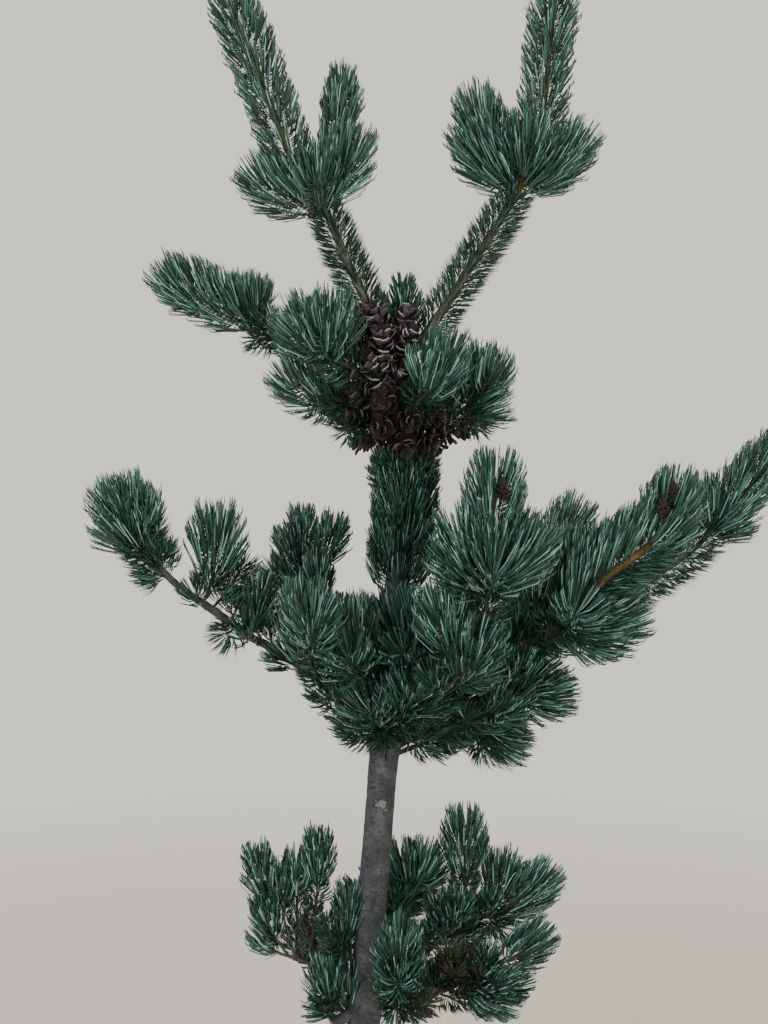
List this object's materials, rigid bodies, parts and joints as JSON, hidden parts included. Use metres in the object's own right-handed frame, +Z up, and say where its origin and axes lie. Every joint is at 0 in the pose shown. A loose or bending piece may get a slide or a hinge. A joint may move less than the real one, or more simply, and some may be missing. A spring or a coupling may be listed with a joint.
{
  "type": "japanese white pine tree",
  "caption": "Young Japanese white pine, rooted: slender trunk forked near the top, whorls of boughs with dense blue-green needle tufts and dark open cones.",
  "frame": {"origin": "middle of the trunk's flat cut at ground level", "axes": "+Z up along the trunk; +X to the right and +Y away from a viewer who faces the tree as in the picture"},
  "size_m": [1.2025, 0.6023, 2.0393],
  "materials": {
    "bark": "smooth grey-brown bark",
    "needles": "blue-green needles, satin",
    "cones": "dry dark brown scales"
  },
  "bodies": {
    "root": {"back_bough": "bark", "back_foliage": "needles", "back_left_bough": "bark", "back_left_foliage": "needles", "back_left_lower_foliage": "needles", "back_lower_bough": "bark", "back_lower_foliage": "needles", "back_right_bough": "bark", "back_right_foliage": "needles", "crotch_foliage": "needles", "front_foliage": "needles", "front_left_bough": "bark", "front_left_lower_foliage": "needles", "front_low_foliage": "needles", "front_lower_bough": "bark", "front_lower_foliage": "needles", "front_right_lower_bough": "bark", "front_right_lower_foliage": "needles", "front_upper_foliage": "needles", "left_arm": "bark", "left_arm_needles": "needles", "left_bough": "bark", "left_front_foliage": "needles", "left_inner_lower_foliage": "needles", "left_lower_bough": "bark", "left_lower_foliage": "needles", "left_tip_foliage": "needles", "left_top_foliage": "needles", "lower_cones": "cones", "right_arm": "bark", "right_arm_needles": "needles", "right_bough": "bark", "right_drooping_foliage": "needles", "right_foliage": "needles", "right_front_bough": "bark", "right_front_foliage": "needles", "right_inner_lower_foliage": "needles", "right_long_bough": "bark", "right_long_foliage": "needles", "right_low_bough": "bark", "right_low_foliage": "needles", "right_lower_bough": "bark", "right_lower_foliage": "needles", "right_top_foliage": "needles", "trunk": "bark", "trunk_needles": "needles", "upper_back_foliage": "needles", "upper_back_left_foliage": "needles", "upper_cones": "cones", "upper_front_left_foliage": "needles", "upper_front_right_foliage": "needles", "upper_left_bough": "bark", "upper_left_foliage": "needles", "upper_low_left_foliage": "needles", "upper_right_bough": "bark", "upper_right_foliage": "needles"}
  },
  "joints": []
}
